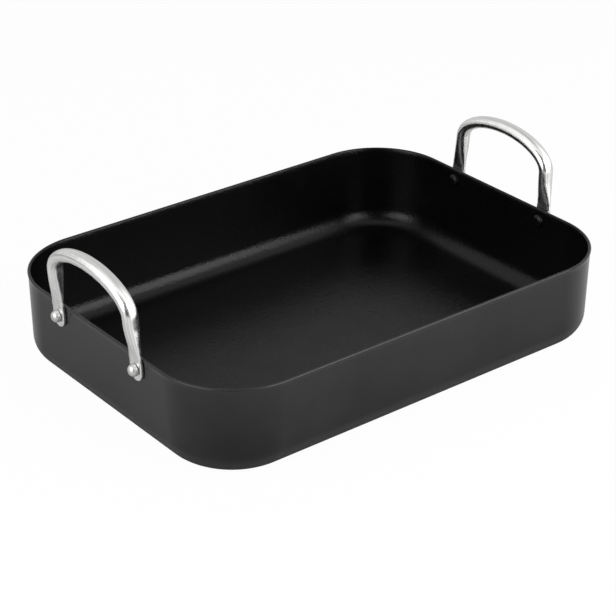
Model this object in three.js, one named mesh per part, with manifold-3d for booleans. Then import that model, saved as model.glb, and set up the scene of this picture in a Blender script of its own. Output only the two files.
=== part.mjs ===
// A roasting pan: a pressed rectangular body with drafted walls and two upright loop handles, each
// held to an end wall by two rivets. Millimetres, +Z up. The origin is the middle of the underside,
// and +X runs along the pan through both handles.
import * as THREE from 'three';
import { mergeVertices } from 'three/addons/utils/BufferGeometryUtils.js';
import Module from 'manifold-3d';

const wasm = await Module();
wasm.setup();

// Pan body: outside sizes over the rim, and the pressed sheet.
const RIM_LENGTH = 400;
const RIM_WIDTH = 287;
const PAN_HEIGHT = 74;
const WALL_THICKNESS = 2.6;
const FLOOR_THICKNESS = 3;
const WALL_DRAFT = THREE.MathUtils.degToRad(2.35);
const RIM_CORNER_RADIUS = 63;
const BASE_CORNER_RADIUS = 55;
const OUTER_BOTTOM_RADIUS = 18.7;
const INNER_BOTTOM_RADIUS = 16;
const RIM_FLARE = 0.4;
const RIM_FLARE_HEIGHT = 5;
const RIM_EDGE_RADIUS = 1.2;

// Handle: a flat tab at each foot, and an oval bar bent into a low arch.
const RIVET_SPACING = 102.5;
const RIVET_BELOW_RIM = 9.9;
const TAB_WIDTH = 14.3;
const TAB_THICKNESS = 2.6;
const TAB_BELOW_RIVET = 9.1;
const HANDLE_RISE = 58.9;
const ARCH_RISE = 22.6;
const LEG_SPACING = 98.8;
const BAR_WIDTH = 9.9;
const BAR_DEPTH = 12.3;
const BAR_STANDOFF = 2.4;

// Rivet: a shank with a domed head outside and a low head inside the pan.
const SHANK_DIAMETER = 5;
const OUTER_HEAD_DIAMETER = 9.6;
const OUTER_HEAD_HEIGHT = 5.2;
const INNER_HEAD_DIAMETER = 11;
const INNER_HEAD_HEIGHT = 2.8;

// Clearances between pieces that touch on the real pan.
const SEAT_GAP = 0.3;
const SHANK_CLEARANCE = 0.2;

// How far a hole's cutter runs past the sheets that it goes through.
const CUTTER_OVERRUN = 5;

// Facets.
const CORNER_STEPS = 12;
const BEND_STEPS = 7;
const EDGE_STEPS = 3;
const FLARE_STEPS = 3;
const SECTION_POINTS = 20;
const TIP_STEPS = 5;
const LEG_STEPS = 9;
const ARCH_STEPS = 13;
const RIVET_SIDES = 20;
const HEAD_STEPS = 5;

// Finishes: hard-anodised sheet with a dark non-stick inside, polished bar and rivets.
const ANODISED = { color: 0x4b4b4b, roughness: 0.5, metalness: 0.7 };
const POLISHED_BAR = { color: 0xd2d2d0, roughness: 0.16, metalness: 1 };
const POLISHED_RIVET = { color: 0xc8c8c6, roughness: 0.2, metalness: 1 };

// How square a section is: an exponent of 2 is an ellipse, a high one a flat bar.
const TAB_SQUARENESS = 4;
const BAR_SQUARENESS = 2.2;
const HEAD_SQUARENESS = 2.5;

const quarterTurn = Math.PI / 2;
const draftSlope = Math.tan(WALL_DRAFT);
const draftCosine = Math.cos(WALL_DRAFT);

// Where the two rivets of a handle stand along the wall.
const rivetPlaces = [-RIVET_SPACING / 2, RIVET_SPACING / 2];

// Closed solid through rings of points, with a flat fan over the first and the last ring. A ring
// runs counter-clockwise as seen from the ring that follows it.
function loft(rings) {
  const count = rings[0].length;
  const positions = rings.flat().flatMap((point) => [point.x, point.y, point.z]);
  const indices = [];
  for (let row = 0; row + 1 < rings.length; row += 1) {
    for (let column = 0; column < count; column += 1) {
      const next = (column + 1) % count;
      const low = row * count;
      const high = low + count;
      indices.push(low + column, low + next, high + next);
      indices.push(low + column, high + next, high + column);
    }
  }
  const capRing = (ring, start, forward) => {
    const middle = new THREE.Vector3();
    ring.forEach((point) => middle.addScaledVector(point, 1 / count));
    const hub = positions.length / 3;
    positions.push(middle.x, middle.y, middle.z);
    for (let column = 0; column < count; column += 1) {
      const next = (column + 1) % count;
      const pair = forward ? [start + column, start + next] : [start + next, start + column];
      indices.push(hub, ...pair);
    }
  };
  capRing(rings[0], 0, false);
  capRing(rings[rings.length - 1], (rings.length - 1) * count, true);
  const geometry = new THREE.BufferGeometry();
  geometry.setAttribute('position', new THREE.Float32BufferAttribute(positions, 3));
  geometry.setIndex(indices);
  return geometry;
}

// Solid for boolean cuts, from a closed geometry.
function solidFrom(geometry) {
  const bare = geometry.clone();
  bare.deleteAttribute('normal');
  bare.deleteAttribute('uv');
  const merged = mergeVertices(bare);
  const vertProperties = new Float32Array(merged.attributes.position.array);
  const triVerts = new Uint32Array(merged.index.array);
  const mesh = new wasm.Mesh({ numProp: 3, vertProperties, triVerts });
  return new wasm.Manifold(mesh);
}

// The geometry with the cutters taken away from it.
function cut(geometry, cutters) {
  let solid = solidFrom(geometry);
  for (const cutter of cutters) {
    solid = solid.subtract(solidFrom(cutter));
  }
  const mesh = solid.getMesh();
  const result = new THREE.BufferGeometry();
  result.setAttribute('position', new THREE.Float32BufferAttribute(mesh.vertProperties, 3));
  result.setIndex(Array.from(mesh.triVerts));
  return result;
}

function namedMesh(name, geometry, finish) {
  geometry.computeVertexNormals();
  const mesh = new THREE.Mesh(geometry, new THREE.MeshStandardMaterial(finish));
  mesh.name = name;
  return mesh;
}

// How far the rim's flare carries the wall outwards, at a depth below the rim. It is full where the
// rounded edge begins.
function flareAt(depth) {
  const rise = (RIM_FLARE_HEIGHT - depth) / (RIM_FLARE_HEIGHT - RIM_EDGE_RADIUS);
  const share = THREE.MathUtils.clamp(rise, 0, 1);
  return RIM_FLARE * share * share;
}

// The wall's outer face as an offset from the edge of the rim, without the flare.
function plainWall(z) {
  return -RIM_FLARE - (PAN_HEIGHT - z) * draftSlope;
}

// Middle of the bend that joins a level floor to a drafted wall set in by the given thickness.
function bendCentre(floorHeight, thickness, radius) {
  const z = floorHeight + radius;
  const offset = plainWall(z) - (thickness + radius) / draftCosine;
  return new THREE.Vector2(offset, z);
}

// The body's wall from the edge of the underside, over the rim and down to the edge of the floor,
// as offsets from the edge of the rim (x) and heights (y).
function wallProfile() {
  const points = [];
  const outer = bendCentre(0, 0, OUTER_BOTTOM_RADIUS);
  const inner = bendCentre(FLOOR_THICKNESS, WALL_THICKNESS, INNER_BOTTOM_RADIUS);
  const arc = (centre, radius, from, to, steps) => {
    for (let step = 0; step <= steps; step += 1) {
      const angle = THREE.MathUtils.lerp(from, to, step / steps);
      const x = centre.x + radius * Math.cos(angle);
      points.push(new THREE.Vector2(x, centre.y + radius * Math.sin(angle)));
    }
  };
  const edgeHeight = PAN_HEIGHT - RIM_EDGE_RADIUS;
  const flareDepths = [];
  for (let step = 0; step < FLARE_STEPS; step += 1) {
    const share = step / FLARE_STEPS;
    flareDepths.push(THREE.MathUtils.lerp(RIM_FLARE_HEIGHT, RIM_EDGE_RADIUS, share));
  }
  const facePoint = (depth, thickness) => {
    const z = PAN_HEIGHT - depth;
    const x = plainWall(z) + flareAt(depth) - thickness / draftCosine;
    return new THREE.Vector2(x, z);
  };
  const outerEdge = new THREE.Vector2(-RIM_EDGE_RADIUS, edgeHeight);
  const innerEdge = new THREE.Vector2(RIM_EDGE_RADIUS - WALL_THICKNESS / draftCosine, edgeHeight);
  arc(outer, OUTER_BOTTOM_RADIUS, -quarterTurn, -WALL_DRAFT, BEND_STEPS);
  flareDepths.forEach((depth) => points.push(facePoint(depth, 0)));
  arc(outerEdge, RIM_EDGE_RADIUS, 0, quarterTurn, EDGE_STEPS);
  arc(innerEdge, RIM_EDGE_RADIUS, quarterTurn, 2 * quarterTurn, EDGE_STEPS);
  flareDepths.reverse().forEach((depth) => points.push(facePoint(depth, WALL_THICKNESS)));
  arc(inner, INNER_BOTTOM_RADIUS, -WALL_DRAFT, -quarterTurn, BEND_STEPS);
  return points;
}

// Level rounded rectangle, counter-clockwise from above.
function roundedRectangle(halfLength, halfWidth, radius, z) {
  const corners = [[1, 1], [-1, 1], [-1, -1], [1, -1]];
  return corners.flatMap(([sideX, sideY], index) => {
    const points = [];
    for (let step = 0; step <= CORNER_STEPS; step += 1) {
      const angle = quarterTurn * (index + step / CORNER_STEPS);
      const x = sideX * (halfLength - radius) + radius * Math.cos(angle);
      const y = sideY * (halfWidth - radius) + radius * Math.sin(angle);
      points.push(new THREE.Vector3(x, y, z));
    }
    return points;
  });
}

// The wall's profile carried round the pan. The corners grow from the base to the rim, and a point
// set in from the wall's outer face has its corner smaller by as much.
function panBodyGeometry() {
  const rings = wallProfile().map(({ x, y }) => {
    const corner = THREE.MathUtils.lerp(BASE_CORNER_RADIUS, RIM_CORNER_RADIUS, y / PAN_HEIGHT);
    const wall = plainWall(y) + flareAt(PAN_HEIGHT - y);
    return roundedRectangle(RIM_LENGTH / 2 + x, RIM_WIDTH / 2 + x, corner + x - wall, y);
  });
  return loft(rings);
}

// Handle's route and sections from one foot to the middle of the arch. x is the distance from the
// wall's outer face, y runs along the wall and z up the wall from the rivets' line.
function handleStations() {
  const stations = [];
  const halfTab = TAB_WIDTH / 2;
  const rim = RIVET_BELOW_RIM;
  const archFoot = rim + HANDLE_RISE - BAR_WIDTH / 2 - ARCH_RISE;
  const tabStation = (z, halfWidth) => stations.push({
    x: SEAT_GAP + flareAt(rim - z) + TAB_THICKNESS / 2,
    y: RIVET_SPACING / 2,
    z,
    halfDepth: TAB_THICKNESS / 2,
    halfWidth,
    squareness: TAB_SQUARENESS,
  });
  for (let step = 1; step <= TIP_STEPS; step += 1) {
    const angle = quarterTurn * (step / TIP_STEPS);
    tabStation(halfTab * (1 - Math.cos(angle)) - TAB_BELOW_RIVET, halfTab * Math.sin(angle));
  }
  for (let step = 0; step <= FLARE_STEPS; step += 1) {
    tabStation(rim - RIM_FLARE_HEIGHT * (1 - step / FLARE_STEPS), halfTab);
  }
  const foot = stations[stations.length - 1];
  const bar = {
    x: BAR_STANDOFF,
    y: LEG_SPACING / 2,
    z: archFoot,
    halfDepth: BAR_DEPTH / 2,
    halfWidth: BAR_WIDTH / 2,
    squareness: BAR_SQUARENESS,
  };
  for (let step = 1; step < LEG_STEPS; step += 1) {
    const share = step / LEG_STEPS;
    const ease = THREE.MathUtils.smoothstep(share, 0, 1);
    const swell = Math.sin(quarterTurn * share);
    stations.push({
      x: THREE.MathUtils.lerp(foot.x, bar.x, ease),
      y: THREE.MathUtils.lerp(foot.y, bar.y, ease),
      z: THREE.MathUtils.lerp(foot.z, bar.z, share),
      halfDepth: THREE.MathUtils.lerp(foot.halfDepth, bar.halfDepth, swell),
      halfWidth: THREE.MathUtils.lerp(foot.halfWidth, bar.halfWidth, ease),
      squareness: THREE.MathUtils.lerp(foot.squareness, bar.squareness, swell),
    });
  }
  for (let step = 0; step <= ARCH_STEPS; step += 1) {
    const angle = quarterTurn * (step / ARCH_STEPS);
    const y = bar.y * Math.cos(angle);
    stations.push({ ...bar, y, z: archFoot + ARCH_RISE * Math.sin(angle) });
  }
  return stations;
}

// The loop lofted from one foot over the arch to the other, with a hole for each rivet.
function handleGeometry() {
  const half = handleStations();
  const mirrored = half.slice(0, -1).reverse().map((station) => ({ ...station, y: -station.y }));
  const stations = [...half, ...mirrored];
  const rings = stations.map((station, index) => {
    const before = stations[Math.max(index - 1, 0)];
    const after = stations[Math.min(index + 1, stations.length - 1)];
    const along = new THREE.Vector2(after.y - before.y, after.z - before.z).normalize();
    const power = 2 / station.squareness;
    const ring = [];
    for (let column = 0; column < SECTION_POINTS; column += 1) {
      const angle = (2 * Math.PI * column) / SECTION_POINTS;
      const cosine = Math.cos(angle);
      const sine = Math.sin(angle);
      const out = station.halfDepth * Math.sign(cosine) * Math.abs(cosine) ** power;
      const across = station.halfWidth * Math.sign(sine) * Math.abs(sine) ** power;
      const y = station.y + across * along.y;
      ring.push(new THREE.Vector3(station.x + out, y, station.z - across * along.x));
    }
    return ring;
  });
  return cut(loft(rings), rivetPlaces.map((y) => holeCutter(y)));
}

// Cylinder through the wall and the tab at one rivet, in the handle's own frame.
function holeCutter(y) {
  const radius = SHANK_DIAMETER / 2 + SHANK_CLEARANCE;
  const length = 2 * (WALL_THICKNESS + SEAT_GAP + TAB_THICKNESS + CUTTER_OVERRUN);
  const cylinder = new THREE.CylinderGeometry(radius, radius, length, RIVET_SIDES);
  return cylinder.rotateZ(quarterTurn).translate(0, y, 0);
}

// Half of a domed head, from its edge on the seat to its top on the axis.
function headCurve(seat, diameter, height) {
  const points = [];
  const power = 2 / HEAD_SQUARENESS;
  for (let step = 0; step < HEAD_STEPS; step += 1) {
    const angle = quarterTurn * (step / HEAD_STEPS);
    const radius = (diameter / 2) * Math.cos(angle) ** power;
    points.push(new THREE.Vector2(radius, seat + height * Math.sin(angle) ** power));
  }
  return [...points, new THREE.Vector2(0, seat + height)];
}

// Rivet turned about X: low head against the inside of the wall, shank, domed head on the tab.
function rivetGeometry() {
  const innerSeat = -WALL_THICKNESS - SEAT_GAP;
  const outerSeat = SEAT_GAP + TAB_THICKNESS + SEAT_GAP;
  const innerHead = headCurve(innerSeat, INNER_HEAD_DIAMETER, -INNER_HEAD_HEIGHT);
  const outerHead = headCurve(outerSeat, OUTER_HEAD_DIAMETER, OUTER_HEAD_HEIGHT);
  const profile = [
    ...innerHead.reverse(),
    new THREE.Vector2(SHANK_DIAMETER / 2, innerSeat),
    new THREE.Vector2(SHANK_DIAMETER / 2, outerSeat),
    ...outerHead,
  ];
  return new THREE.LatheGeometry(profile, RIVET_SIDES).rotateZ(-quarterTurn);
}

// One end of the pan: a handle and its rivets in a frame that leans with the wall.
function handleEnd(side, turn) {
  const end = new THREE.Group();
  end.rotation.z = turn;
  const seat = new THREE.Group();
  const rivetHeight = PAN_HEIGHT - RIVET_BELOW_RIM;
  seat.position.set(RIM_LENGTH / 2 + plainWall(rivetHeight), 0, rivetHeight);
  seat.rotation.y = WALL_DRAFT;
  seat.add(namedMesh(`${side}_handle`, handleGeometry(), POLISHED_BAR));
  rivetPlaces.forEach((y) => {
    const place = y * Math.cos(turn) < 0 ? 'front' : 'back';
    const rivet = namedMesh(`${side}_handle_${place}_rivet`, rivetGeometry(), POLISHED_RIVET);
    rivet.position.y = y;
    seat.add(rivet);
  });
  end.add(seat);
  return end;
}

const roastingPan = new THREE.Group();
const ends = [handleEnd('right', 0), handleEnd('left', Math.PI)];
ends.forEach((end) => end.updateMatrixWorld(true));
const wallHoles = ends.flatMap((end) => {
  const frame = end.children[0].matrixWorld;
  return rivetPlaces.map((y) => holeCutter(y).applyMatrix4(frame));
});
const bodyGeometry = cut(panBodyGeometry(), wallHoles);
roastingPan.add(namedMesh('pan_body', bodyGeometry, ANODISED), ...ends);

export default roastingPan;
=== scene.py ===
import math

import bmesh
import bpy
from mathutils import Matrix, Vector


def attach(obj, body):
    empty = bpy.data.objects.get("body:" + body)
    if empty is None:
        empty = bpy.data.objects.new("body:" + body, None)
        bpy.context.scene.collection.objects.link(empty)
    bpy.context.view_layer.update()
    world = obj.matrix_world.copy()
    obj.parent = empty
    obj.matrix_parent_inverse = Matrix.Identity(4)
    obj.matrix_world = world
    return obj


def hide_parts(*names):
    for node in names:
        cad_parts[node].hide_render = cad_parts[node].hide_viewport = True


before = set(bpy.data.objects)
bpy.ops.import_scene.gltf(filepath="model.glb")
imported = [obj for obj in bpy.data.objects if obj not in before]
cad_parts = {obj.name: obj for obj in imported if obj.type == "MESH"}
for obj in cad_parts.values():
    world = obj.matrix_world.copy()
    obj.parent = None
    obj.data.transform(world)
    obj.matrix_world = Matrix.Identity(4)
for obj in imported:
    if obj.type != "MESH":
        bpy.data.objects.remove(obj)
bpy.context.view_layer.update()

# Pan body: one blank of aluminium sheet drawn into a deep tray with round corners and a wide bend round
# its floor. The outside is hard-anodised, the inside and the top of the rim are sprayed with a non-stick
# coat, and the rim's cut edge is rolled a little outwards and rounded.
MM = 0.001
RIM_LENGTH = 400 * MM
RIM_WIDTH = 287 * MM
PAN_HEIGHT = 74 * MM
WALL_THICKNESS = 2.6 * MM
FLOOR_THICKNESS = 3 * MM
WALL_DRAFT = math.radians(2.35)
RIM_CORNER_RADIUS = 63 * MM
BASE_CORNER_RADIUS = 55 * MM
BOTTOM_BEND_RADIUS = 18.7 * MM
RIM_FLARE = 0.4 * MM
RIM_FLARE_HEIGHT = 5 * MM
RIM_EDGE_RADIUS = 1.2 * MM
CORNER_STEPS = 28
BEND_STEPS = 14
EDGE_STEPS = 5
FLARE_STEPS = 4
FLOOR_BORDER = 6 * MM
LEVEL_SLACK = 0.1 * MM
OUTSIDE, INSIDE, RIM = range(3)


def start_piece(name, add_primitive, **placing):
    """Adds a primitive as a new piece, alone in the selection, and goes into edit mode on it."""
    bpy.ops.object.select_all(action="DESELECT")
    add_primitive(**placing)
    piece = bpy.context.object
    piece.name = name
    bpy.ops.object.mode_set(mode="EDIT")
    return piece


def select(kind, test):
    """Selects, in edit mode, only the faces, edges or verts that pass the test."""
    bpy.ops.mesh.select_mode(type={"faces": "FACE", "edges": "EDGE", "verts": "VERT"}[kind])
    bpy.ops.mesh.select_all(action="DESELECT")
    mesh = bmesh.from_edit_mesh(bpy.context.object.data)
    for element in getattr(mesh, kind):
        element.select_set(test(element))
    mesh.select_flush_mode()
    bmesh.update_edit_mesh(bpy.context.object.data)


def middle_of(element):
    """The middle of an edge or a face."""
    return sum((vert.co for vert in element.verts), Vector()) / len(element.verts)


def finish_with(kind, **settings):
    """Adds a modifier to the piece in object mode and applies it."""
    modifier = bpy.context.object.modifiers.new(kind.lower(), kind)
    for name, value in settings.items():
        setattr(modifier, name, value)
    bpy.ops.object.modifier_apply(modifier=modifier.name)


def rim_flare(height):
    """How far the rolled rim carries the wall outwards, in full where its round edge begins."""
    rise = (height - PAN_HEIGHT + RIM_FLARE_HEIGHT) / (RIM_FLARE_HEIGHT - RIM_EDGE_RADIUS)
    return RIM_FLARE * min(max(rise, 0), 1) ** 2


def wall_face(height):
    """The outer face of the wall at a height, as an offset from the edge of the rim."""
    return rim_flare(height) - RIM_FLARE - (PAN_HEIGHT - height) * math.tan(WALL_DRAFT)


def wall_outline(height):
    """Adds the level outline of the wall at a height: a plane with its corners rounded, left as edges."""
    offset = wall_face(height)
    corner = BASE_CORNER_RADIUS + (RIM_CORNER_RADIUS - BASE_CORNER_RADIUS) * height / PAN_HEIGHT
    bpy.ops.mesh.select_all(action="DESELECT")
    bpy.ops.mesh.primitive_plane_add(size=2, location=(0, 0, height))
    bpy.ops.transform.resize(
        value=(RIM_LENGTH / 2 + offset, RIM_WIDTH / 2 + offset, 1),
        center_override=(0, 0, height),
    )
    bpy.ops.mesh.bevel(offset=corner, segments=CORNER_STEPS, affect="VERTICES", clamp_overlap=False)
    bpy.ops.mesh.delete(type="ONLY_FACE")


pan = start_piece("drawn_pan", bpy.ops.mesh.primitive_plane_add)
bpy.ops.mesh.delete(type="VERT")
wall_outline(0)
for step in range(FLARE_STEPS + 1):
    wall_outline(PAN_HEIGHT - RIM_FLARE_HEIGHT * (1 - step / FLARE_STEPS))
bpy.ops.mesh.select_all(action="SELECT")
bpy.ops.mesh.bridge_edge_loops(type="SINGLE")

# The floor closes the tray, and the bend takes the place of the sharp edge round it.
select("edges", lambda edge: middle_of(edge).z < LEVEL_SLACK)
bpy.ops.mesh.edge_face_add()
select("edges", lambda edge: middle_of(edge).z < LEVEL_SLACK)
bend_reach = BOTTOM_BEND_RADIUS * math.tan((math.pi / 2 - WALL_DRAFT) / 2)
bpy.ops.mesh.bevel(offset=bend_reach, segments=BEND_STEPS, affect="EDGES", clamp_overlap=False)
select("faces", lambda face: len(face.verts) > 4)
bpy.ops.mesh.inset(thickness=FLOOR_BORDER)
bpy.ops.mesh.select_all(action="SELECT")
bpy.ops.mesh.normals_make_consistent(inside=False)
bpy.ops.object.mode_set(mode="OBJECT")
for _ in (OUTSIDE, INSIDE, RIM):
    pan.data.materials.append(None)
finish_with(
    "SOLIDIFY",
    thickness=WALL_THICKNESS,
    offset=-1,
    use_even_offset=True,
    use_quality_normals=True,
    material_offset=INSIDE,
    material_offset_rim=RIM,
)

# The drawn floor is a little thicker than the wall, and the rim is trimmed level and rounded.
bpy.ops.object.mode_set(mode="EDIT")
select("faces", lambda face: face.material_index == INSIDE and middle_of(face).z < BOTTOM_BEND_RADIUS)
bpy.ops.transform.translate(value=(0, 0, FLOOR_THICKNESS - WALL_THICKNESS))
select("faces", lambda face: face.material_index == RIM)
bpy.ops.transform.resize(value=(1, 1, 0), center_override=(0, 0, PAN_HEIGHT))
select("edges", lambda edge: len({face.material_index for face in edge.link_faces}) == 2)
bpy.ops.mesh.bevel(offset=RIM_EDGE_RADIUS, segments=EDGE_STEPS, affect="EDGES", clamp_overlap=False)
bpy.ops.object.mode_set(mode="OBJECT")
bpy.ops.object.shade_smooth()
finish_with("WEIGHTED_NORMAL", keep_sharp=True)

# The coat ends on the crest of the rim.
for face in pan.data.polygons:
    if face.center.z > PAN_HEIGHT - RIM_EDGE_RADIUS:
        faces_out = face.normal.x * face.center.x + face.normal.y * face.center.y > 0
        face.material_index = OUTSIDE if faces_out else INSIDE
pan.data.materials.pop(index=RIM)


def linear(colour):
    """An sRGB hex colour as the linear colour that a shader takes."""
    shares = [int(colour[place:place + 2], 16) / 255 for place in (1, 3, 5)]
    return [
        share / 12.92 if share <= 0.04045 else ((share + 0.055) / 1.055) ** 2.4 for share in shares
    ] + [1]


def add_node(tree, kind, settings={}, values={}, links={}):
    """Adds a node with its settings, the values of its inputs, and links from (node, output) to inputs."""
    node = tree.nodes.new(kind)
    for name, value in settings.items():
        setattr(node, name, value)
    for name, value in values.items():
        node.inputs[name].default_value = value
    for name, (source, output) in links.items():
        tree.links.new(source.outputs[output], node.inputs[name])
    return node


def new_material(name, **values):
    """A material with its shader's own values set, its tree, and the shader."""
    material = bpy.data.materials.new(name)
    material.use_nodes = True
    tree = material.node_tree
    shader = tree.nodes["Principled BSDF"]
    for socket, value in values.items():
        shader.inputs[socket.replace("_", " ")].default_value = value
    return material, tree, shader


def set_stops(node, *stops):
    """Sets the stops of a colour ramp, each a share of the way along it and an sRGB hex colour."""
    elements = node.color_ramp.elements
    for share, colour in stops[1:-1]:
        elements.new(share)
    for element, (share, colour) in zip(elements, stops):
        element.position = share
        element.color = linear(colour)


# Hard-anodised aluminium: a dense black oxide grown on the drawn sheet. It is a satin charcoal, dark where
# it faces the eye and paler where it turns away, with soft clouds from the bath and a faint grain, drawn
# coarser than the real one to show. Its colour carries painted shade, darker towards the bottom and paler
# towards the rim, for the shaded floor close to the pan that the lower wall mirrors. It is duller on the
# bend that was drawn over the die, and paler grey in scratchy patches along the top and bottom edges.
ANODISED_GRAIN = 1.1 * MM
ANODISED_GRAIN_DEPTH = 0.03 * MM
ANODISED_CLOUD = 45 * MM
ANODISED_SMOOTHEST = 0.19
ANODISED_ROUGHEST = 0.26
BEND_DULLING = 0.7
EDGE_PATCH = 3 * MM
EDGE_BAND_HEIGHT = 1.2 * MM

# Most of a noise's values lie in this range.
NOISE_RANGE = {"From Min": 0.3, "From Max": 0.7}


def hard_anodised():
    material, tree, shader = new_material("hard_anodised_aluminium", IOR=1.31)
    place = add_node(tree, "ShaderNodeTexCoord")
    grain = add_node(
        tree, "ShaderNodeTexNoise",
        values={"Scale": 1 / ANODISED_GRAIN, "Detail": 3, "Roughness": 0.6},
        links={"Vector": (place, "Object")},
    )
    cloud = add_node(
        tree, "ShaderNodeTexNoise",
        values={"Scale": 1 / ANODISED_CLOUD, "Detail": 4, "Roughness": 0.55},
        links={"Vector": (place, "Object")},
    )
    axes = add_node(tree, "ShaderNodeSeparateXYZ", links={"Vector": (place, "Object")})
    height = add_node(
        tree, "ShaderNodeMapRange", values={"From Max": PAN_HEIGHT}, links={"Value": (axes, "Z")},
    )
    # Painted shade: the colour is mixed half from the clouds and half from the height, so the wall is
    # darker towards the bottom, where it mirrors the shaded floor close to the pan.
    cloud_and_painted_shade = add_node(
        tree, "ShaderNodeMix", values={"Factor": 0.5}, links={"A": (cloud, "Fac"), "B": (height, "Result")},
    )
    tone = add_node(tree, "ShaderNodeValToRGB", links={"Fac": (cloud_and_painted_shade, "Result")})
    set_stops(tone, (0.2, "#070707"), (0.8, "#202020"))
    # Paler grey in scratchy patches in the last millimetre or so at the top and bottom edges of the wall.
    edge_bands = add_node(tree, "ShaderNodeValToRGB", links={"Fac": (height, "Result")})
    band_share = EDGE_BAND_HEIGHT / PAN_HEIGHT
    set_stops(edge_bands, (0, "#606060"), (band_share, "#000000"), (1 - band_share, "#000000"), (1, "#606060"))
    edge_noise = add_node(
        tree, "ShaderNodeTexNoise",
        values={"Scale": 1 / EDGE_PATCH, "Detail": 5, "Roughness": 0.7},
        links={"Vector": (place, "Object")},
    )
    pale_edge_share = add_node(
        tree, "ShaderNodeMath", {"operation": "MULTIPLY"},
        links={0: (edge_bands, "Color"), 1: (edge_noise, "Fac")},
    )
    with_pale_edges = add_node(
        tree, "ShaderNodeMix", {"data_type": "RGBA"},
        links={"Factor": (pale_edge_share, "Value"), 6: (tone, "Color")},
    )
    with_pale_edges.inputs[7].default_value = linear("#4a4a4a")
    satin = add_node(
        tree, "ShaderNodeMapRange",
        values={**NOISE_RANGE, "To Min": ANODISED_SMOOTHEST, "To Max": ANODISED_ROUGHEST},
        links={"Value": (cloud, "Fac")},
    )
    dull = add_node(
        tree, "ShaderNodeMapRange",
        values={"From Min": BOTTOM_BEND_RADIUS / PAN_HEIGHT, "From Max": 0, "To Max": BEND_DULLING},
        links={"Value": (height, "Result")},
    )
    gloss = add_node(
        tree, "ShaderNodeMath", {"operation": "ADD"}, links={0: (satin, "Result"), 1: (dull, "Result")},
    )
    bump = add_node(
        tree, "ShaderNodeBump",
        values={"Strength": 0.25, "Distance": ANODISED_GRAIN_DEPTH},
        links={"Height": (grain, "Fac")},
    )
    tree.links.new(with_pale_edges.outputs[2], shader.inputs["Base Color"])
    tree.links.new(gloss.outputs["Value"], shader.inputs["Roughness"])
    tree.links.new(bump.outputs["Normal"], shader.inputs["Normal"])
    return material


# Sprayed non-stick coat: black fluoropolymer baked on in a thin film. It is a satin near-black with a much
# lower gloss than other plastics, and a stipple from the spray that breaks up its highlights. The stipple
# is drawn about three times as coarse as the real one, to show at all.
STIPPLE = 2 * MM
STIPPLE_DEPTH = 0.27 * MM
COAT_PATCH = 30 * MM
COAT_SMOOTHEST = 0.24
COAT_ROUGHEST = 0.3


def sprayed_nonstick():
    material, tree, shader = new_material("sprayed_nonstick_coat", IOR=1.25)
    place = add_node(tree, "ShaderNodeTexCoord")
    stipple = add_node(
        tree, "ShaderNodeTexNoise",
        values={"Scale": 1 / STIPPLE, "Detail": 2, "Roughness": 0.5},
        links={"Vector": (place, "Object")},
    )
    patch = add_node(
        tree, "ShaderNodeTexNoise",
        values={"Scale": 1 / COAT_PATCH, "Detail": 3},
        links={"Vector": (place, "Object")},
    )
    tone = add_node(tree, "ShaderNodeValToRGB", links={"Fac": (stipple, "Fac")})
    set_stops(tone, (0, "#030303"), (1, "#070707"))
    gloss = add_node(
        tree, "ShaderNodeMapRange",
        values={**NOISE_RANGE, "To Min": COAT_SMOOTHEST, "To Max": COAT_ROUGHEST},
        links={"Value": (patch, "Fac")},
    )
    bump = add_node(
        tree, "ShaderNodeBump",
        values={"Strength": 1, "Distance": STIPPLE_DEPTH},
        links={"Height": (stipple, "Fac")},
    )
    tree.links.new(tone.outputs["Color"], shader.inputs["Base Color"])
    tree.links.new(gloss.outputs["Result"], shader.inputs["Roughness"])
    tree.links.new(bump.outputs["Normal"], shader.inputs["Normal"])
    return material


nonstick = sprayed_nonstick()
pan.data.materials[OUTSIDE] = hard_anodised()
pan.data.materials[INSIDE] = nonstick
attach(pan, "root")
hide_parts("pan_body")

# Handles: each a stainless bar, forged flat into a tab at both feet, bent into an upright loop over an end
# wall and buffed along its length. The tabs lie against the wall and the bar thickens as it clears the rim.
RIVET_SPACING = 102.5 * MM
RIVET_BELOW_RIM = 9.9 * MM
TAB_WIDTH = 14.3 * MM
TAB_THICKNESS = 2.6 * MM
TAB_BELOW_RIVET = 9.1 * MM
HANDLE_RISE = 58.9 * MM
ARCH_RISE = 22.6 * MM
LEG_SPACING = 98.8 * MM
BAR_WIDTH = 9.9 * MM
BAR_DEPTH = 12.3 * MM
BAR_STANDOFF = 2.4 * MM
SEAT_GAP = 0.3 * MM
TIP_STEPS = 5
LEG_STEPS = 9
ARCH_STEPS = 18
SMOOTH_LEVELS = 3
TAB_CREASE = 0.45
CREASE_FADE_STEPS = 4
SEAM_MERGE = 0.01 * MM

# The tab's tip is all but a half circle, because two full quarter rounds would meet in a doubled edge.
TIP_ROUNDING = 0.499

# A square cage that is smoothed draws in to this share of its width, and less the more it is creased.
CAGE_SHARE = 11 / 12
CREASE_GRIP = 10

# An edge of the cage is one across the section if it runs along X by more than the first share of its
# length, round the tab's tip, or up Z by less than the second, on the bar.
ACROSS_TIP = 0.5
ACROSS_BAR = 0.1

# The handle is made in the wall's own frame: X out of its face, Y along it, Z up it from the rivets.
rim_line = RIVET_BELOW_RIM
arch_foot = rim_line + HANDLE_RISE - BAR_WIDTH / 2 - ARCH_RISE
tab_top = rim_line - RIM_FLARE_HEIGHT
tab_x = SEAT_GAP + TAB_THICKNESS / 2
route = [Vector((tab_x, RIVET_SPACING / 2, tab_top))]


def smooth_share(share):
    """A share from 0 to 1 that starts and ends gently."""
    share = min(max(share, 0), 1)
    return share * share * (3 - 2 * share)


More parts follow.
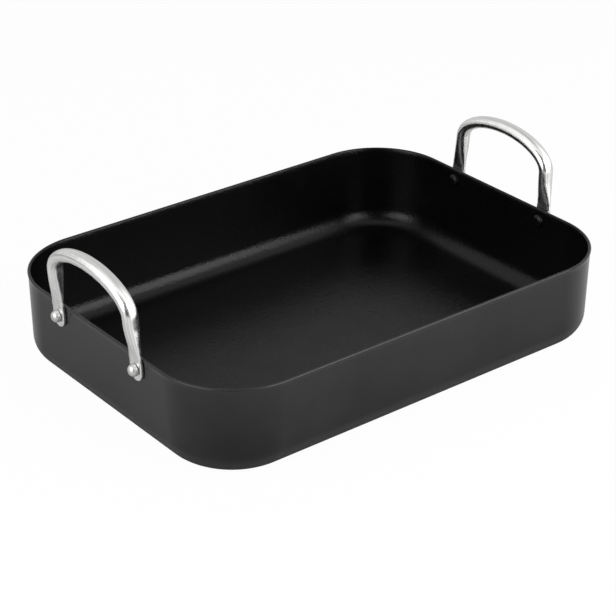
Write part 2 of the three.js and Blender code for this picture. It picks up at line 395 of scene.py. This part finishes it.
def extrude_to(place, sizing=(1, 1, 1), turning=0):
    """Draws the selected end of the bar out to a place, then sizes it and turns it about X there."""
    bpy.ops.mesh.extrude_region_move(TRANSFORM_OT_translate={"value": place - route[-1]})
    bpy.ops.transform.resize(value=sizing, center_override=place)
    bpy.ops.transform.rotate(value=-turning, orient_axis="X", center_override=place)
    cage = bmesh.from_edit_mesh(handle.data)
    bar_place = cage.verts.layers.float_vector["place_on_bar"]
    for vert in cage.verts:
        if vert.select:
            vert[bar_place] += Vector((0, 0, (place - route[-1]).length))
    bmesh.update_edit_mesh(handle.data)
    route.append(place)


def cage_share(step):
    """The share of its cage's width that the smoothed leg keeps at a step, where its creases fade."""
    crease = TAB_CREASE * max(1 - step / CREASE_FADE_STEPS, 0)
    return CAGE_SHARE + (1 - CAGE_SHARE) * min(CREASE_GRIP * crease * crease, 1)


def is_tab_end(edge):
    """Whether an edge is one of the two across the tab's thickness at its lower end."""
    low = max(vert.co.z for vert in edge.verts) < 0
    return low and abs(edge.verts[0].co.y - edge.verts[1].co.y) < MM


def runs_along(edge):
    """Whether an edge runs along the bar or round the tab's end, and not across the section."""
    run = edge.verts[1].co - edge.verts[0].co
    if middle_of(edge).z < 0:
        return abs(run.x) < ACROSS_TIP * run.length
    return abs(run.z) > ACROSS_BAR * run.length


handle = start_piece("loop_handle_pattern", bpy.ops.mesh.primitive_cube_add, size=1)
bpy.ops.transform.resize(
    value=(TAB_THICKNESS, TAB_WIDTH, tab_top + TAB_BELOW_RIVET),
    center_override=(0, 0, 0),
)
bpy.ops.transform.translate(value=(tab_x, RIVET_SPACING / 2, (tab_top - TAB_BELOW_RIVET) / 2))
select("edges", is_tab_end)
bpy.ops.mesh.bevel(
    offset=TIP_ROUNDING * TAB_WIDTH, segments=TIP_STEPS, affect="EDGES", clamp_overlap=False,
)

# Each point keeps its place in the bar's section and along the bar, which the buffing lines follow.
cage = bmesh.from_edit_mesh(handle.data)
bar_place = cage.verts.layers.float_vector.new("place_on_bar")
for vert in cage.verts:
    in_depth = (vert.co.x - tab_x) / TAB_THICKNESS * BAR_DEPTH
    in_width = (vert.co.y - RIVET_SPACING / 2) / TAB_WIDTH * BAR_WIDTH
    vert[bar_place] = (in_depth, in_width, vert.co.z)
bmesh.update_edit_mesh(handle.data)

# The tab follows the rolled rim, then narrows and thickens from the flat tab to the oval bar.
select("faces", lambda face: middle_of(face).z > tab_top - LEVEL_SLACK)
for step in range(1, FLARE_STEPS + 1):
    z = tab_top + RIM_FLARE_HEIGHT * step / FLARE_STEPS
    flare = rim_flare(PAN_HEIGHT - rim_line + z)
    extrude_to(Vector((tab_x + flare, RIVET_SPACING / 2, z)))
foot = route[-1]
depth, width = TAB_THICKNESS, TAB_WIDTH
for step in range(1, LEG_STEPS + 1):
    share = step / LEG_STEPS
    place = foot.lerp(Vector((BAR_STANDOFF, LEG_SPACING / 2, foot.z)), smooth_share(share))
    place.z = foot.z + (arch_foot - foot.z) * share
    swell = math.sin(math.pi / 2 * share)
    next_depth = (TAB_THICKNESS + (BAR_DEPTH - TAB_THICKNESS) * swell) / cage_share(step)
    next_width = (TAB_WIDTH + (BAR_WIDTH - TAB_WIDTH) * smooth_share(share)) / cage_share(step)
    extrude_to(place, sizing=(next_depth / depth, next_width / width, 1))
    depth, width = next_depth, next_width
lean = 0
for step in range(1, ARCH_STEPS + 1):
    angle = math.pi / 2 * step / ARCH_STEPS
    y = LEG_SPACING / 2 * math.cos(angle)
    place = Vector((BAR_STANDOFF, y, arch_foot + ARCH_RISE * math.sin(angle)))
    next_lean = math.atan2(LEG_SPACING / 2 * math.sin(angle), ARCH_RISE * math.cos(angle))
    extrude_to(place, turning=next_lean - lean)
    lean = next_lean
bpy.ops.mesh.delete(type="FACE")

# The edges along the bar are crisp on the flat tab and fade out step by step up the leg.
for step in range(CREASE_FADE_STEPS):
    top = rim_line + (arch_foot - rim_line) * step / LEG_STEPS
    select("edges", lambda edge: runs_along(edge) and middle_of(edge).z < top)
    bpy.ops.transform.edge_crease(value=TAB_CREASE / CREASE_FADE_STEPS)
bpy.ops.object.mode_set(mode="OBJECT")
finish_with("MIRROR", use_axis=(False, True, False), merge_threshold=SEAM_MERGE)
bar_place = handle.data.attributes["place_on_bar"].data
half_length = max(point.vector.z for point in bar_place)
for vert, point in zip(handle.data.vertices, bar_place):
    if vert.co.y < 0:
        point.vector.z = 2 * half_length - point.vector.z
finish_with("SUBSURF", levels=SMOOTH_LEVELS, render_levels=SMOOTH_LEVELS)
bpy.ops.object.shade_smooth()

# Buffed stainless steel: polished on a soft wheel along the bar. It mirrors the studio softly, a little
# wavy from the forging, with fine bright and dull lines along the bar, which are drawn coarser than the
# real ones to show.
BUFF_LINE = 1.5 * MM
BUFF_LINE_LENGTH = 90 * MM
BUFF_LINE_DEPTH = 0.07 * MM
BUFFED_SMOOTHEST = 0.2
BUFFED_ROUGHEST = 0.3
FORGED_WAVE = 9 * MM
FORGED_WAVE_DEPTH = 0.35 * MM


def buffed_steel():
    material, tree, shader = new_material("buffed_stainless_steel", Metallic=1)
    place = add_node(tree, "ShaderNodeTexCoord")
    bar = add_node(tree, "ShaderNodeAttribute", {"attribute_name": "place_on_bar"})
    drawn_out = add_node(
        tree, "ShaderNodeMapping",
        values={"Scale": (1 / BUFF_LINE, 1 / BUFF_LINE, 1 / BUFF_LINE_LENGTH)},
        links={"Vector": (bar, "Vector")},
    )
    line = add_node(
        tree, "ShaderNodeTexNoise",
        values={"Scale": 1, "Detail": 2},
        links={"Vector": (drawn_out, "Vector")},
    )
    forged = add_node(
        tree, "ShaderNodeTexNoise",
        values={"Scale": 1 / FORGED_WAVE, "Detail": 1},
        links={"Vector": (place, "Object")},
    )
    tone = add_node(tree, "ShaderNodeValToRGB", links={"Fac": (line, "Fac")})
    set_stops(tone, (0.3, "#bebebd"), (0.7, "#ececeb"))
    gloss = add_node(
        tree, "ShaderNodeMapRange",
        values={**NOISE_RANGE, "To Min": BUFFED_SMOOTHEST, "To Max": BUFFED_ROUGHEST},
        links={"Value": (forged, "Fac")},
    )
    wave = add_node(
        tree, "ShaderNodeBump",
        values={"Strength": 1, "Distance": FORGED_WAVE_DEPTH},
        links={"Height": (forged, "Fac")},
    )
    bump = add_node(
        tree, "ShaderNodeBump",
        values={"Strength": 1, "Distance": BUFF_LINE_DEPTH},
        links={"Height": (line, "Fac"), "Normal": (wave, "Normal")},
    )
    tree.links.new(tone.outputs["Color"], shader.inputs["Base Color"])
    tree.links.new(gloss.outputs["Result"], shader.inputs["Roughness"])
    tree.links.new(bump.outputs["Normal"], shader.inputs["Normal"])
    return material


handle.data.materials.append(buffed_steel())
rivet_height = PAN_HEIGHT - RIVET_BELOW_RIM
wall_seat = Vector((RIM_LENGTH / 2 + wall_face(rivet_height), 0, rivet_height))


def set_on_wall(piece, name, along=0, turn=0):
    """Copies a piece made in the wall's own frame on to an end wall, at a distance along it."""
    bpy.ops.object.select_all(action="DESELECT")
    copy = piece.copy()
    copy.data = piece.data.copy()
    copy.name = name
    bpy.context.collection.objects.link(copy)
    copy.select_set(True)
    bpy.context.view_layer.objects.active = copy
    for place, tilt in (
        ((0, along, 0), (0, 0, 0)),
        (wall_seat, (0, WALL_DRAFT, 0)),
        ((0, 0, 0), (0, 0, turn)),
    ):
        copy.location = place
        copy.rotation_euler = tilt
        bpy.ops.object.transform_apply(location=True, rotation=True, scale=True)
    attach(copy, "root")
    return copy


for side, turn in (("right", 0), ("left", math.pi)):
    loop = set_on_wall(handle, f"{side}_loop_handle", turn=turn)
    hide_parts(f"{side}_handle")
bpy.data.objects.remove(handle)

# Rivets: stainless wire, cold-headed to a round head outside on the tab and pressed to a low head against
# the inside of the wall, where the non-stick coat was sprayed over it.
SHANK_DIAMETER = 5 * MM
OUTER_HEAD_DIAMETER = 9.6 * MM
OUTER_HEAD_HEIGHT = 5.2 * MM
INNER_HEAD_DIAMETER = 11 * MM
INNER_HEAD_HEIGHT = 2.8 * MM
HEAD_SQUARENESS = 2.5
RIVET_SIDES = 40
HEAD_STEPS = 8
POLE_MERGE = 0.001 * MM
SMOOTH_ANGLE = math.radians(40)
STEEL_HEAD, COATED_HEAD = range(2)

inner_seat = -WALL_THICKNESS - SEAT_GAP
outer_seat = SEAT_GAP + TAB_THICKNESS + SEAT_GAP


def head_outline(seat, diameter, height):
    """Places along the rivet and the diameters there, from a head's seat to just under its top."""
    outline = []
    for step in range(HEAD_STEPS):
        angle = math.pi / 2 * step / HEAD_STEPS
        x = seat + height * math.sin(angle) ** (2 / HEAD_SQUARENESS)
        outline.append((x, diameter * math.cos(angle) ** (2 / HEAD_SQUARENESS)))
    return outline


outline = head_outline(outer_seat, OUTER_HEAD_DIAMETER, OUTER_HEAD_HEIGHT)[::-1]
outline += [(outer_seat, SHANK_DIAMETER), (inner_seat, SHANK_DIAMETER)]
outline += head_outline(inner_seat, INNER_HEAD_DIAMETER, -INNER_HEAD_HEIGHT)
ring_x, ring_diameter = outline[0]
rivet = start_piece(
    "rivet_pattern", bpy.ops.mesh.primitive_circle_add,
    vertices=RIVET_SIDES, radius=ring_diameter / 2, location=(ring_x, 0, 0), rotation=(0, math.pi / 2, 0),
)
bpy.ops.object.mode_set(mode="OBJECT")
bpy.ops.object.transform_apply(location=True, rotation=True, scale=True)
bpy.ops.object.mode_set(mode="EDIT")
bpy.ops.mesh.select_all(action="SELECT")
for x, diameter in outline[1:]:
    bpy.ops.mesh.extrude_region_move(TRANSFORM_OT_translate={"value": (x - ring_x, 0, 0)})
    sizing = diameter / ring_diameter
    bpy.ops.transform.resize(value=(1, sizing, sizing), center_override=(x, 0, 0))
    ring_x, ring_diameter = x, diameter
for top in (inner_seat - INNER_HEAD_HEIGHT, outer_seat + OUTER_HEAD_HEIGHT):
    select("edges", lambda edge: len(edge.link_faces) == 1 and edge.verts[0].co.x * top > 0)
    bpy.ops.mesh.extrude_region_move()
    bpy.ops.transform.resize(value=(1, 0, 0), center_override=(0, 0, 0))
    bpy.ops.transform.resize(value=(0, 1, 1), center_override=(top, 0, 0))
bpy.ops.mesh.select_all(action="SELECT")
bpy.ops.mesh.remove_doubles(threshold=POLE_MERGE)
bpy.ops.mesh.normals_make_consistent(inside=False)
bpy.ops.object.mode_set(mode="OBJECT")
bpy.ops.object.shade_smooth_by_angle(angle=SMOOTH_ANGLE)

# Cold-headed stainless steel: squeezed in a polished die and left as it comes. It is a soft mirror with
# faint dents and a haze of fine scuffs.
HEAD_DENT = 2.5 * MM
HEAD_DENT_DEPTH = 0.06 * MM
HEAD_SCUFF = 0.7 * MM
HEAD_SMOOTHEST = 0.36
HEAD_ROUGHEST = 0.48


def headed_steel():
    material, tree, shader = new_material("cold_headed_stainless_steel", Metallic=1)
    place = add_node(tree, "ShaderNodeTexCoord")
    dent = add_node(
        tree, "ShaderNodeTexNoise",
        values={"Scale": 1 / HEAD_DENT, "Detail": 2},
        links={"Vector": (place, "Object")},
    )
    scuff = add_node(
        tree, "ShaderNodeTexNoise",
        values={"Scale": 1 / HEAD_SCUFF, "Detail": 3, "Roughness": 0.6},
        links={"Vector": (place, "Object")},
    )
    tone = add_node(tree, "ShaderNodeValToRGB", links={"Fac": (scuff, "Fac")})
    set_stops(tone, (0, "#b0b0af"), (1, "#c6c6c5"))
    gloss = add_node(
        tree, "ShaderNodeMapRange",
        values={**NOISE_RANGE, "To Min": HEAD_SMOOTHEST, "To Max": HEAD_ROUGHEST},
        links={"Value": (scuff, "Fac")},
    )
    bump = add_node(
        tree, "ShaderNodeBump",
        values={"Strength": 0.4, "Distance": HEAD_DENT_DEPTH},
        links={"Height": (dent, "Fac")},
    )
    tree.links.new(tone.outputs["Color"], shader.inputs["Base Color"])
    tree.links.new(gloss.outputs["Result"], shader.inputs["Roughness"])
    tree.links.new(bump.outputs["Normal"], shader.inputs["Normal"])
    return material


rivet.data.materials.append(headed_steel())
rivet.data.materials.append(nonstick)
for face in rivet.data.polygons:
    face.material_index = COATED_HEAD if face.center.x < inner_seat else STEEL_HEAD
for side, turn in (("right", 0), ("left", math.pi)):
    for along in (-RIVET_SPACING / 2, RIVET_SPACING / 2):
        place = "front" if along * math.cos(turn) < 0 else "back"
        copy = set_on_wall(rivet, f"{side}_{place}_round_head_rivet", along, turn)
        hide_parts(f"{side}_handle_{place}_rivet")
bpy.data.objects.remove(rivet)

# Floor: a sheet of matt white paper under the pan, 12 m across. To the camera it is all but white, with a
# faint share of the pan's soft shadow. The metal mirrors it as lit paper with some white of its own.
FLOOR_SIZE = 12
FLOOR_LEVEL = -0.05 * MM
SHOWN_WHITE = 0.97
MIRRORED_WHITE = 0.2
floor = start_piece(
    "white_sweep", bpy.ops.mesh.primitive_plane_add, size=FLOOR_SIZE, location=(0, 0, FLOOR_LEVEL),
)
bpy.ops.object.mode_set(mode="OBJECT")
paper, tree, shader = new_material("matt_white_paper", Roughness=0.9)
shader.inputs["Base Color"].default_value = linear("#e4e4e4")


def by_ray(tree, lighting, mirrored, seen):
    """Nodes that give one value to rays that light, one to rays in gloss or glass, one to the camera."""
    rays = add_node(tree, "ShaderNodeLightPath")
    indirect = add_node(
        tree, "ShaderNodeMath", {"operation": "MAXIMUM"},
        links={0: (rays, "Is Glossy Ray"), 1: (rays, "Is Transmission Ray")},
    )
    unseen = add_node(
        tree, "ShaderNodeMapRange",
        values={"To Min": lighting, "To Max": mirrored},
        links={"Value": (indirect, "Value")},
    )
    shown = add_node(
        tree, "ShaderNodeMapRange",
        values={"To Max": seen},
        links={"Value": (rays, "Is Camera Ray"), "To Min": (unseen, "Result")},
    )
    return unseen, shown


_, shown = by_ray(tree, 0, MIRRORED_WHITE, SHOWN_WHITE)
white = add_node(tree, "ShaderNodeEmission", values={"Strength": 1})
surface = add_node(
    tree, "ShaderNodeMixShader",
    links={0: (shown, "Result"), 1: (shader, "BSDF"), 2: (white, "Emission")},
)
tree.links.new(surface.outputs["Shader"], tree.nodes["Material Output"].inputs["Surface"])
floor.data.materials.append(paper)

# Light: a white studio with two soft boxes, one over the near end and one over the long front side. In
# gloss its walls show brighter round these two, and dark in the gap where the camera stands.
WALL_WHITE = 0.83
LAMP_SIDE_GAIN = 0.6
LAMP_SIDE_BLUR = 10
FILL_WHITE = 0.25
SOFT_BOX_DISTANCE = 1.5

# A bright side is a compass angle from +Y towards +X, a height angle and a spread, all in degrees. A soft
# box is a name, the same two angles, its sides in metres and its power in watts.
LAMP_SIDES = ((-78, 48, 46), (140, 30, 47))
SOFT_BOXES = (
    ("near_end_soft_box", -95, 28, (1.1, 1.25), 17.5),
    ("front_soft_box", 156, 27, (1.2, 1.35), 25),
)

# The gap fades out between two sines of the angle off its middle plane, and two cosines off its direction.
CAMERA_GAP_WHITE = 0.05
CAMERA_GAP_AZIMUTH = -135
GAP_SIDE_START, GAP_SIDE_END = 0.42, 0.58
GAP_TOP_START, GAP_TOP_END = 0.52, 0.26


def towards(azimuth, elevation):
    """The direction at a compass angle in degrees from +Y towards +X, and a height angle."""
    turn, rise = math.radians(azimuth), math.radians(elevation)
    return Vector((math.cos(rise) * math.sin(turn), math.cos(rise) * math.cos(turn), math.sin(rise)))


world = bpy.data.worlds.new("white_studio")
bpy.context.scene.world = world
world.use_nodes = True
tree = world.node_tree
background = tree.nodes["Background"]
background.inputs["Color"].default_value = linear("#ffffff")
around = add_node(tree, "ShaderNodeTexCoord")
wall = add_node(tree, "ShaderNodeValue")
wall.outputs["Value"].default_value = WALL_WHITE
for azimuth, elevation, spread in LAMP_SIDES:
    nearness = add_node(
        tree, "ShaderNodeVectorMath", {"operation": "DOT_PRODUCT"},
        values={1: towards(azimuth, elevation)},
        links={0: (around, "Generated")},
    )
    gain = add_node(
        tree, "ShaderNodeMapRange", {"interpolation_type": "SMOOTHSTEP"},
        values={
            "From Min": math.cos(math.radians(spread + LAMP_SIDE_BLUR)),
            "From Max": math.cos(math.radians(spread - LAMP_SIDE_BLUR)),
            "To Max": LAMP_SIDE_GAIN,
        },
        links={"Value": (nearness, "Value")},
    )
    wall = add_node(
        tree, "ShaderNodeMath", {"operation": "ADD"}, links={0: (wall, "Value"), 1: (gain, "Result")},
    )
across = add_node(
    tree, "ShaderNodeVectorMath", {"operation": "DOT_PRODUCT"},
    values={1: towards(CAMERA_GAP_AZIMUTH + 90, 0)},
    links={0: (around, "Generated")},
)
beside = add_node(tree, "ShaderNodeMath", {"operation": "ABSOLUTE"}, links={0: (across, "Value")})
outside_gap = add_node(
    tree, "ShaderNodeMapRange", {"interpolation_type": "SMOOTHSTEP"},
    values={"From Min": GAP_SIDE_START, "From Max": GAP_SIDE_END},
    links={"Value": (beside, "Value")},
)
facing = add_node(
    tree, "ShaderNodeVectorMath", {"operation": "DOT_PRODUCT"},
    values={1: towards(CAMERA_GAP_AZIMUTH, 0)},
    links={0: (around, "Generated")},
)
beyond_gap = add_node(
    tree, "ShaderNodeMapRange", {"interpolation_type": "SMOOTHSTEP"},
    values={"From Min": GAP_TOP_START, "From Max": GAP_TOP_END},
    links={"Value": (facing, "Value")},
)
open_wall = add_node(
    tree, "ShaderNodeMath", {"operation": "MAXIMUM"},
    links={0: (outside_gap, "Result"), 1: (beyond_gap, "Result")},
)
studio = add_node(
    tree, "ShaderNodeMapRange",
    values={"To Min": CAMERA_GAP_WHITE},
    links={"Value": (open_wall, "Value"), "To Max": (wall, "Value")},
)
unseen, shown = by_ray(tree, FILL_WHITE, 1, 1)
tree.links.new(studio.outputs["Result"], unseen.inputs["To Max"])
tree.links.new(shown.outputs["Result"], background.inputs["Strength"])

for name, azimuth, elevation, size, power in SOFT_BOXES:
    away = towards(azimuth, elevation)
    bpy.ops.object.light_add(type="AREA", location=away * SOFT_BOX_DISTANCE)
    lamp = bpy.context.object
    lamp.name = name
    lamp.rotation_euler = away.to_track_quat("Z", "Y").to_euler()
    lamp.data.shape = "RECTANGLE"
    lamp.data.size, lamp.data.size_y = size
    lamp.data.energy = power

# Camera: the photograph's viewing angle, from a little above the near left corner.
CAMERA_PLACE = (-0.8534, -1.0607, 0.7501)
CAMERA_TILT = math.radians(61.903)
CAMERA_TURN = math.radians(-37.898)
LENS_MM = 113.45
SENSOR_MM = 36
FRAME_SHIFT = (0.038, 0.0046)
camera_data = bpy.data.cameras.new("photograph_view")
camera_data.lens = LENS_MM
camera_data.sensor_width = SENSOR_MM
camera_data.shift_x, camera_data.shift_y = FRAME_SHIFT
camera = bpy.data.objects.new("photograph_view", camera_data)
camera.location = CAMERA_PLACE
camera.rotation_euler = (CAMERA_TILT, 0, CAMERA_TURN)
bpy.context.collection.objects.link(camera)
bpy.context.scene.camera = camera
bpy.context.scene.view_settings.view_transform = "Standard"
